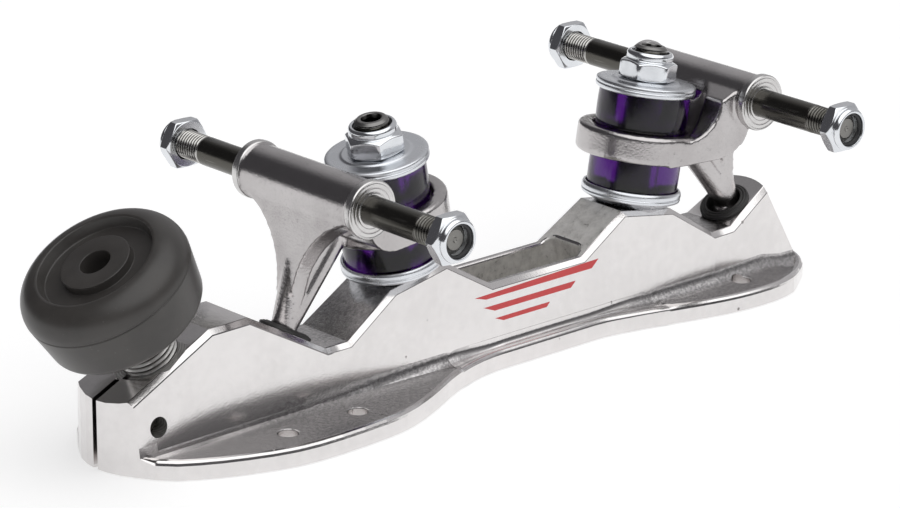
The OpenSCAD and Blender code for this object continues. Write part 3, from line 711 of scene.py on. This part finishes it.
def drawn_flange(work):
    """Draws the flange's rim and the cove of the spine's foot out to their measured lines."""
    for k in range(SLICES):
        low = [f for f in work.faces if max(v.co.z for v in f.verts) < FLANGE_TOP * MM]
        near = dict.fromkeys(low + [e for f in low for e in f.edges] + [v for f in low for v in f.verts])
        place = ((SLICE_FROM + SLICE_STEP * k) * MM, 0, 0)
        bmesh.ops.bisect_plane(work, geom=list(near), plane_co=place, plane_no=(1, 0, 0), dist=1e-7)
    for vert in work.verts:
        x, y, z = vert.co / MM
        wall = wall_half(x, z)
        out = abs(y) - wall
        if z > COVE_TOP + 0.05 or out < -0.03 or x > HEEL_TO:
            continue
        half = sole_half(x)
        top = FRONT_T + (REAR_T - FRONT_T) * unit((x - THIN_FROM) / (THIN_TO - THIN_FROM))
        floor = top - RIM_D
        new_top = curve(RIM_LINE, x)
        new_floor = new_top - FLOOR_DROP
        drawn = 1 - unit((x - WAIST_FROM) / WAIST_FADE) * unit((WAIST_TO - x) / WAIST_FADE)
        drawn *= unit((HEEL_TO - x) / (HEEL_TO - HEEL_FROM))
        turned = TOE_LEAN * max(0.0, TOE_TURN - x) + HEEL_LEAN * max(0.0, x - HEEL_TURN)
        on_rim = abs(y) > half - RIM_W - 0.25 - turned
        share = unit(out / max(0.01, min(half - wall, COVE_R)))
        side = abs(y) + (share * drawn * curve(SOLE_SHIFT, x) if on_rim else 0.0)
        height = z
        if abs(z - top) < 0.1 and on_rim:
            height = new_top
        elif abs(z - floor) < 0.06:
            height = new_floor
        elif z > floor and out < COVE_R + 0.05:
            rise = (z - floor) / (COVE_TOP - floor)
            height = new_floor + (COVE_END - new_floor) * rise
            side -= (wall_half(x, COVE_TOP) - wall_half(x, COVE_END)) * rise
        vert.co = (x * MM, math.copysign(side, y) * MM, (z + (height - z) * drawn) * MM)
    work.normal_update()


def waist_profile(x):
    """The flange's section at the waist, as (out, z) points from the wall over the rim to the sole."""
    proud = 0.04 - 0.1 * max(0.0, 1 - min(x - WAIST_FROM, WAIST_TO - x) / 3)
    edge = sole_half(x) + curve(SOLE_SHIFT, x) + proud
    top = curve(RIM_LINE, x) + proud
    soft = curve(EDGE_LINE, x)
    floor = top - FLOOR_DROP * unit((abs(x - (WAIST_FROM + WAIST_TO) / 2) - 18) / 18)
    wall = wall_half(x, COVE_END) - 0.03
    inner = edge - RIM_W
    foot = min(wall_half(x, COVE_TOP) + COVE_R, inner - 0.4)
    points = [(wall - 0.5, COVE_END)]
    for k in range(13):
        a = TAU / 4 * k / 12
        points.append((foot - (foot - wall) * math.cos(a), floor + (COVE_END - floor) * (1 - math.sin(a))))
    points += [(inner - 0.3, floor), (inner + 0.1, top)]
    for k in range(9):
        a = TAU / 4 * k / 8
        points.append((edge - soft + soft * math.sin(a), top - soft + soft * math.cos(a)))
    return points + [(edge, 0.0), (wall - 0.5, 0.0)]


def waist_ledge(side):
    """One side of the waist, drawn along the plate."""
    count = 78
    points, faces = [], []
    for i in range(count):
        x = WAIST_FROM + (WAIST_TO - WAIST_FROM) * i / (count - 1)
        row = [(x, side * y, z) for y, z in waist_profile(x)]
        points += row
    size = len(row)
    for i in range(count - 1):
        for k in range(size):
            n = (k + 1) % size
            faces.append((i * size + k, i * size + n, (i + 1) * size + n, (i + 1) * size + k))
    faces.append(tuple(range(size)))
    faces.append(tuple((count - 1) * size + k for k in reversed(range(size))))
    return points, faces


def in_corner(face):
    """Whether a face lies between the flange's rim and the spine's wall."""
    c = face.center / MM
    if c.z > COVE_END + 0.05 or face.normal.z < 0.05 or not CORNER_FROM < c.x < CORNER_TO:
        return False
    return abs(c.y) < sole_half(c.x) + curve(SOLE_SHIFT, c.x) - RIM_W - 0.3


def rounded_edges(work):
    """Marks the edges to round: the trough's brim, the rim of the flange and the screw holes."""
    weight = work.edges.layers.float.new("bevel_weight_edge")
    for edge in work.edges:
        if len(edge.link_faces) != 2:
            continue
        mid = (edge.verts[0].co + edge.verts[1].co) / 2 / MM
        flat, wall = sorted(edge.link_faces, key=lambda f: -f.normal.z)
        if not edge.is_convex or abs(wall.normal.z) > 0.05:
            continue
        if abs(mid.x) < TROUGH_X + 0.1 and abs(mid.y) < TROUGH_Y + 0.05 and mid.z > 20:
            edge[weight] = BRIM_EDGE / WIDEST_EDGE
            continue
        on_rim = abs(mid.y) > RIM_SIDE or mid.x > RIM_HEEL
        if flat.normal.z < 0.95 or not 2 <= mid.z <= FLANGE_TOP or not on_rim:
            continue
        if min(v.co.z for v in wall.verts) < 0.1 * MM:
            away = min(math.hypot(mid.x - x, abs(mid.y) - y) for x, y in SOLE_SCREWS)
            at_hole = away < SCREW_HOLE_R + 0.4
            edge[weight] = (HOLE_EDGE if at_hole else curve(EDGE_LINE, mid.x)) / WIDEST_EDGE
        elif mid.x < STEP_END:
            edge[weight] = STEP_EDGE / WIDEST_EDGE


def plate_finish(face, stem):
    """The finish of one face of the plate; stem turns places into the toe stop's own frame."""
    c = face.center / MM
    seat = stem @ face.center / MM
    if abs(c.x) < TROUGH_X and abs(c.y) <= TROUGH_Y + 0.01 and c.z < TROUGH_BRIM:
        return SAND_CAST
    if abs(seat.z + SPOT_DEPTH) < 0.05 and seat.xy.length < SPOT_R:
        return SPOT_FACE
    if abs(face.normal.y) < 0.1 and math.hypot(c.x - PINCH_X, c.z - PINCH_Z) < PINCH_HOLE_R:
        return SPOT_FACE
    if in_corner(face):
        return INNER_CORNER
    if abs(c.x) < PIVOT_FOOT and c.z > WALL_FOOT and face.normal.z > 0.5 and abs(face.normal.y) < 0.1:
        return SPINE_TOP
    return POLISHED


def plate_casting():
    """The plate with its flange drawn out, its rims rounded and the spine's upper edges bevelled."""
    obj = copied("plate_casting", "plate")
    work = bmesh.new()
    work.from_mesh(obj.data)
    drawn_flange(work)
    rounded_edges(work)
    work.to_mesh(obj.data)
    work.free()
    rim = obj.modifiers.new("rim", "BEVEL")
    rim.limit_method = "WEIGHT"
    rim.offset_type = "OFFSET"
    rim.width = WIDEST_EDGE * MM
    rim.segments = 3
    rim.use_clamp_overlap = False
    baked(obj)
    cutters = [made("cutter", edge_cutter(side), POLISHED) for side in (-1, 1)]
    for cutter in cutters:
        cut = obj.modifiers.new("edges", "BOOLEAN")
        cut.operation = "DIFFERENCE"
        cut.solver = "EXACT"
        cut.object = cutter
    baked(obj)
    for cutter in cutters:
        bpy.data.objects.remove(cutter)
    mesh = obj.data
    finishes = [POLISHED, SAND_CAST, SPOT_FACE, INNER_CORNER, SPINE_TOP]
    mesh.materials.clear()
    for material in finishes:
        mesh.materials.append(material)
    stem = upright(STEM_X, STEM_Z, -STEM_TILT).inverted()
    for face in mesh.polygons:
        face.material_index = finishes.index(plate_finish(face, stem))
    mesh.shade_smooth()
    mesh.set_sharp_from_angle(angle=math.radians(18))
    flats = obj.modifiers.new("flats", "WEIGHTED_NORMAL")
    flats.keep_sharp = True
    flats.weight = 100
    fitted(obj, "plate", "polished_aluminium", "plate")


def waist_ledges():
    obj = made("waist_ledges", joined(waist_ledge(-1), waist_ledge(1)), POLISHED, sharp=30)
    obj.data.materials.append(INNER_CORNER)
    for face in obj.data.polygons:
        face.material_index = int(in_corner(face))
    fitted(obj, "plate", "polished_aluminium")


def socket_form(depth, width, stretch, otherwise):
    """A form that makes a bore six-sided above a depth and under a width; another form does the rest."""

    def form(r, z, a):
        if z > depth and r < width:
            return r * stretch / math.cos((a % (TAU / 6)) - TAU / 12)
        return otherwise(r, z, a)

    return form


def pinch_screw():
    low, high = -7.4, 3.0
    rows = [(0, -8.1), (2.2, -8.1), (PINCH_R, -7.5)] + thread_rows(PINCH_R, low, high, PINCH_PITCH)
    rows += [(PINCH_R, 8.02), (4.5, 8.02, 0.2), (4.5, 13.52, 0.5), (2.55, 13.52, 0.2)]
    rows += [(2.2, 13.2), (2.2, 10.75), (0, 10.2)]
    form = socket_form(10.5, 2.4, 1.0, thread(PINCH_PITCH, 0.4, (low, high)))
    place = Matrix.Translation((PINCH_X * MM, 0, PINCH_Z * MM)) @ Matrix.Rotation(math.radians(-90), 4, "X")
    bolt = made("pinch_screw", revolve(eased(rows), steps=48, form=form), PINCH_STEEL, place)
    fitted(bolt, "plate", "zinc_steel", "pinch_bolt")


def toe_stop():
    place = upright(STEM_X, STEM_Z, -STEM_TILT) @ Matrix.Translation((0, 0, STEM_OUT * MM))
    seam, top = PARTING_H - 0.3, RUBBER_H
    outline = eased([
        (8.0, 0.0), (20.4, 0.0, 0.5), (21.6, 1.2, 0.9), (23.3, seam - 0.25, 0.2), (23.08, seam, 0.12),
        (23.08, seam + 0.25, 0.12), (23.4, seam + 0.5, 0.2)
    ])
    for i in range(1, 16):
        a = TAU / 4 * i / 16
        outline.append((16.2 + SHOULDER_R * math.cos(a), top - SHOULDER_R + SHOULDER_R * math.sin(a)))
    outline += eased([
        (16.9, top), (16.2, top - 0.05, 0.3), (15.2, top - 3, 0.35), (9.75, top - 3, 0.25),
        (9.7, top - 0.5, 0.3), (4.25, top - 0.5, 0.25), (4.2, 12.1, 0.2), (8.0, 12.0)
    ])
    rubber = made("stop_rubber_block", revolve(outline, True, 144), STOP_RUBBER, place, 40)
    fitted(rubber, "toe_stop", "stop_rubber", "toe_stop_rubber")
    end = -STEM_OUT - 15.0
    low, high = end + 1.2, -1.0
    rows = [(0, end), (6.6, end), (STEM_R, low)] + thread_rows(STEM_R, low, high, STEM_PITCH)
    rows += [(STEM_R, 4.0), (14.0, 4.0), (14.0, 7.0), (STEM_R, 7.0), (STEM_R, 11.7)]
    rows += [(7.6, 12.0), (4.2, 12.0), (4.2, 8.0), (0, 8.0)]
    form = socket_form(7.9, 4.5, math.cos(TAU / 12), thread(STEM_PITCH, 0.75, (low, high)))
    stem = made("stop_threaded_stem", revolve(rows, steps=72, form=form), STEM_STEEL, place)
    fitted(stem, "toe_stop", "zinc_steel", "toe_stop_stem")


def cone_rows(r0, z0, r1, z1, count=8):
    """Points along a cone, close enough together to show where it cuts a hexagon's flats."""
    return [(r0 + (r1 - r0) * i / count, z0 + (z1 - z0) * i / count) for i in range(count + 1)]


def lock_nut(bore, flats, height, turn=0.0):
    """Lock nut: face down at z 0, bevelled hexagon, round collar with a thick rolled lip."""
    corner = flats / 2 / math.cos(TAU / 12) * 1.02
    collar = flats / 2 * COLLAR_SHARE
    mouth = collar - LIP_W
    hex_h = height * HEX_SHARE
    rows = [(bore, 0.5), (bore + 0.45, 0.0), (flats / 2 * 0.96, 0.0)]
    rows += cone_rows(flats / 2 * 0.97, 0.05, corner, 0.6)
    rows += [(corner, hex_h / 2)]
    rows += cone_rows(corner, hex_h - 1.0, flats / 2 * 0.93, hex_h - 0.05)
    rows += eased([
        (collar + 0.05, hex_h), (collar - 0.2, hex_h + 0.25, 0.15), (collar, hex_h + 0.55, 0.2),
        (collar, height - 0.8, 0.45), (collar - 0.6, height, 0.4), (mouth, height - 0.12, 0.2),
        (mouth, hex_h + 0.1), (bore, hex_h + 0.05)
    ])
    shape = revolve(rows, True, 120, hexagon(flats, -0.01, hex_h - 0.04))
    return shifted(shape, turn=turn)


def lock_ring(bore, flats, height):
    """The nylon ring in a lock nut's collar."""
    outer = flats / 2 * COLLAR_SHARE - LIP_W - SLACK
    low = height * HEX_SHARE + 0.1
    return revolve(eased([
        (bore, low), (outer, low), (outer, height - 0.75, 0.2), (bore + 0.3, height - 0.72, 0.2),
        (bore, height - 0.95), (bore + 0.22, height - 1.2, 0.1), (bore, height - 1.45)
    ], True), True)


def hanger_casting(end, body):
    """The hanger with its corners filled and rounded as in a casting."""
    obj = copied(end + "_hanger_casting", end + "_hanger")
    skin = obj.modifiers.new("skin", "REMESH")
    skin.mode = "VOXEL"
    skin.voxel_size = 0.42 * MM
    fillets = obj.modifiers.new("fillets", "SMOOTH")
    fillets.factor = 0.5
    fillets.iterations = 9
    baked(obj)
    obj.data.materials.clear()
    obj.data.materials.append(TUMBLED)
    obj.data.shade_smooth()
    fitted(obj, body, "cast_aluminium", end + "_hanger")


def both_ends(shape, z):
    """A shape at z and its mirror image at -z."""
    return joined(shifted(shape, z), shifted(shape, -z, True))


def axle_set(end, body, axle):
    """Collars, axle, lock nuts and their rings."""
    rows = eased([(7.2, 21.4), (8.06, 22.1, 0.35), (8.06, 24.0, 0.3), (7.75, BARREL_END, 0.1)])
    for r in (7.5, 6.3, 5.1):
        rows += [(r, BARREL_END), (r - 0.22, BARREL_END - 0.1), (r - 0.44, BARREL_END)]
    bore = AXLE_R + 0.03
    rows += [(bore, BARREL_END), (bore, 23.9), (7.0, 23.9)]
    collars = made(end + "_barrel_collars", both_ends(revolve(rows, True), 0), TURNED_FACE, axle, 40)
    fitted(collars, body, "cast_aluminium")

    low, high = AXLE_THREAD, AXLE_HALF - 1.1
    tip = [(3.75, high + 0.1), (2.7, AXLE_HALF), (0.8, AXLE_HALF)]
    tip += [(0.5, AXLE_HALF - 0.3), (0, AXLE_HALF - 0.4)]
    rows = [(r, -z) for r, z in reversed(tip)] + thread_rows(AXLE_R, -high, -low, AXLE_PITCH)
    rows += [(AXLE_R, z) for z in (0.1 - low, -30, 0, 30, low - 0.1)]
    rows += thread_rows(AXLE_R, low, high, AXLE_PITCH) + tip
    bar = revolve(rows, steps=64, form=thread(AXLE_PITCH, 0.55, (low, high), (-high, -low)))
    fitted(made(end + "_axle_bar", bar, AXLE_STEEL, axle), body, "black_steel", end + "_axle")

    size = (AXLE_R + SLACK, AXLE_NUT_AF, AXLE_NUT_H)
    nuts = made(end + "_lock_nuts", both_ends(lock_nut(*size), NUT_FACE), ZINC_NUT, axle, 28)
    fitted(nuts, body, "zinc_steel", end + "_axle_nuts")
    rings = made(end + "_lock_rings", both_ends(lock_ring(*size), NUT_FACE), NYLON, axle)
    fitted(rings, body, "nylon", end + "_axle_nut_inserts")


def kingpin_set(end, pin, turn):
    """Kingpin, lock nut with its ring, and both washers."""
    top, low, high = KINGPIN_TOP, KINGPIN_THREAD, KINGPIN_TOP - 0.7
    rows = [(0, -16.98), (3.9, -16.98), (KINGPIN_R, -16.1), (KINGPIN_R, low - 0.2)]
    rows += thread_rows(KINGPIN_R, low, high, KINGPIN_PITCH)
    rows += eased([(4.3, top - 0.4), (3.9, top, 0.3), (2.95, top, 0.2), (2.7, top - 0.4)])
    rows += [(2.7, top - 5), (0, top - 5.6)]
    form = socket_form(0, 2.8, 1.0, thread(KINGPIN_PITCH, 0.6, (low, high)))
    bolt = made(end + "_kingpin_bolt", revolve(rows, steps=72, form=form), BLACK_OXIDE, pin)
    fitted(bolt, "plate", "black_steel", end + "_kingpin")

    bore = KINGPIN_R + SLACK
    size = (bore, KINGPIN_NUT_AF, KINGPIN_NUT_H)
    shape = shifted(lock_nut(*size, turn), STACK_TOP + SLACK)
    nut = made(end + "_kingpin_lock_nut", shape, ZINC_NUT, pin, 28)
    fitted(nut, "plate", "zinc_steel", end + "_kingpin_nut")
    shape = shifted(lock_ring(*size), STACK_TOP + SLACK)
    ring = made(end + "_kingpin_lock_ring", shape, NYLON, pin)
    fitted(ring, "plate", "nylon", end + "_kingpin_nut_insert")

    upper = [
        (bore, 34.6), (13.2, 34.6, 0.3), (13.2, 32.6, 0.15), (13.75, 32.6, 0.25), (14.2, 33.1, 0.3),
        (14.2, 33.9, 0.2), (13.95, 34.15, 0.15), (14.2, 34.45, 0.2), (14.1, 35.3, 0.35), (13.3, 35.6, 0.4),
        (10.0, 35.55, 0.3), (9.3, 35.98, 0.3), (bore, STACK_TOP)
    ]
    lower = [
        (bore, SLACK), (9.4, SLACK, 0.5), (12.9, 1.85, 0.6), (14.0, 2.3, 0.4), (14.2, 3.1, 0.3),
        (13.95, 3.4, 0.15), (14.2, 3.7, 0.25), (14.2, 4.6, 0.3), (13.8, 5.4, 0.35), (13.2, 5.4, 0.2),
        (13.2, 3.0, 0.3), (bore, 3.0)
    ]
    for level, rows in (("upper", upper), ("lower", lower)):
        washer = made(f"{end}_{level}_washer", revolve(eased(rows, True), True, 128), ZINC_WASHER, pin, 40)
        fitted(washer, "plate", "zinc_steel", f"{end}_{level}_retainer")


def cushions(end, pin):
    """Both cushions, each running from its washer to the hanger's ring, a little bulged at the middle."""
    bore, side_r, bulge, soft = KINGPIN_R + 0.3, 12.75, 0.22, 12.5
    for level, fixed, moving in (("lower", 3.1, 16.6), ("upper", 34.5, 20.0)):
        low, high = sorted((fixed, moving))
        mid = (low + high) / 2
        side = []
        for i in range(15):
            z = low + 1.0 + (high - low - 2.0) * i / 14
            side.append((side_r + bulge * math.cos(math.pi * (z - mid) / (high - low)), z))
        rows = eased([(bore, low, 0.4), (soft, low, 0.6), side[0]])[:-1] + side
        rows += eased([side[-1], (soft, high, 0.6), (bore, high)])[1:]
        cushion = made(f"{end}_{level}_urethane", revolve(rows, True, 96), URETHANE, pin, 50)
        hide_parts(f"{end}_{level}_cushion")
        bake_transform(cushion)


def pivot_cup(end, face):
    rows = [
        (0, -8.48), (6.3, -8.48, 0.3), (6.3, 0.02), (7.4, 0.02, 0.2), (7.4, 0.6, 0.3), (6.95, 0.95, 0.2),
        (6.8, 0.75, 0.12), (6.55, 1.15, 0.2), (6.1, 1.2, 0.15), (5.95, 1.0, 0.1), (5.75, 1.38, 0.2),
        (5.2, 1.38, 0.2), (5.05, 1.0, 0.2), (4.95, -2.5), (4.9, -3.0), (3.5, -6.1), (0, -7.3)
    ]
    cup = made(end + "_cup", revolve(eased(rows)), CUP_RUBBER, face, 40)
    fitted(cup, "plate", "cup_rubber", end + "_pivot_cup")


def truck(end, sign, nut_turn):
    """One truck; sign is -1 towards the toe."""
    body = end + "_truck"
    pin = upright(sign * KINGPIN_X, SEAT_Z, sign * LEAN)
    hanger_casting(end, body)
    axle_set(end, body, across(sign * AXLE_X, AXLE_Z))
    kingpin_set(end, pin, nut_turn)
    cushions(end, pin)
    pivot_cup(end, upright(sign * FACE_X, FACE_Z, -sign * FACE_SLOPE))


def side_stripes(name, side):
    """Three slanted bars on the spine's wall, thin as paint."""
    bars = [((-24, 20.6), (22.5, 21.6), (19.8, 19.4), (-20, 19.4))]
    bars += [((-21, 17.2), (13.5, 17.2), (11.6, 15.6), (-17, 15.6))]
    bars += [((-17, 13.4), (3.5, 13.4), (2.2, 12.2), (-14, 12.2))]
    faces = [(0, 1, 2, 3), (7, 6, 5, 4)] + [(i, 4 + i, 4 + (i + 1) % 4, (i + 1) % 4) for i in range(4)]
    shapes = []
    for bar in bars:
        points = [(x, side * (wall_half(x, z) + lift), z) for lift in (0.05, -0.3) for x, z in bar]
        shapes.append((points, faces))
    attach(made(name, joined(*shapes), RED_PAINT), "plate")


plate_casting()
waist_ledges()
pinch_screw()
toe_stop()
truck("front", -1, 0)
truck("rear", 1, 25)
side_stripes("near_stripes", -1)
side_stripes("far_stripes", 1)

floor_mesh = bpy.data.meshes.new("floor")
floor_corners = [(x, y, -0.4 * MM) for x, y in ((-6, -6), (6, -6), (6, 6), (-6, 6))]
floor_mesh.from_pydata(floor_corners, [], [(0, 1, 2, 3)])
floor_mesh.materials.append(FLOOR)
add_object("floor", floor_mesh)

# Studio: a dark room with a wide soft light overhead, towards the near side, and a weak one at the heel
world = bpy.data.worlds.new("studio")
scene.world = world
world.use_nodes = True
world.node_tree.nodes.clear()
pen = Socket(world.node_tree)
look = pen.add("TexCoord", out="Generated")


def lamp(direction, low, high):
    """1 towards a soft lamp, 0 well away from it."""
    towards = Vector(direction).normalized()
    return pen.add("VectorMath", {"operation": "DOT_PRODUCT"}, {0: look, 1: towards}, "Value").ease(low, high)


heel_end = lamp((0.82, 0.2, 0.53), 0.38, 0.9).blend(rgb(0.075, 0.073, 0.078), rgb(0.5, 0.495, 0.505))
room = lamp((-0.05, -0.42, 0.9), 0.66, 0.8).blend(heel_end, rgb(1.55, 1.55, 1.55))
seen = pen.add("LightPath", out="Is Camera Ray").blend(room, rgb(1.0, 1.0, 1.0))
pen.add("OutputWorld", None, {"Surface": pen.add("Background", None, {"Color": seen})})

camera = bpy.data.cameras.new("camera")
camera.sensor_width = 36
camera.lens = 176.895
camera.clip_start = 0.05
camera.clip_end = 60
eye = bpy.data.objects.new("camera", camera)
scene.collection.objects.link(eye)
turn, rise, roll = math.radians(-41.8153), math.radians(18.8728), math.radians(0.0924)
eye.matrix_world = (
    Matrix.Translation((-0.786877, -0.852998, 0.422001))
    @ Matrix.Rotation(turn, 4, "Z")
    @ Matrix.Rotation(math.pi / 2 - rise, 4, "X")
    @ Matrix.Rotation(roll, 4, "Z")
)
scene.camera = eye
scene.view_settings.view_transform = "Standard"
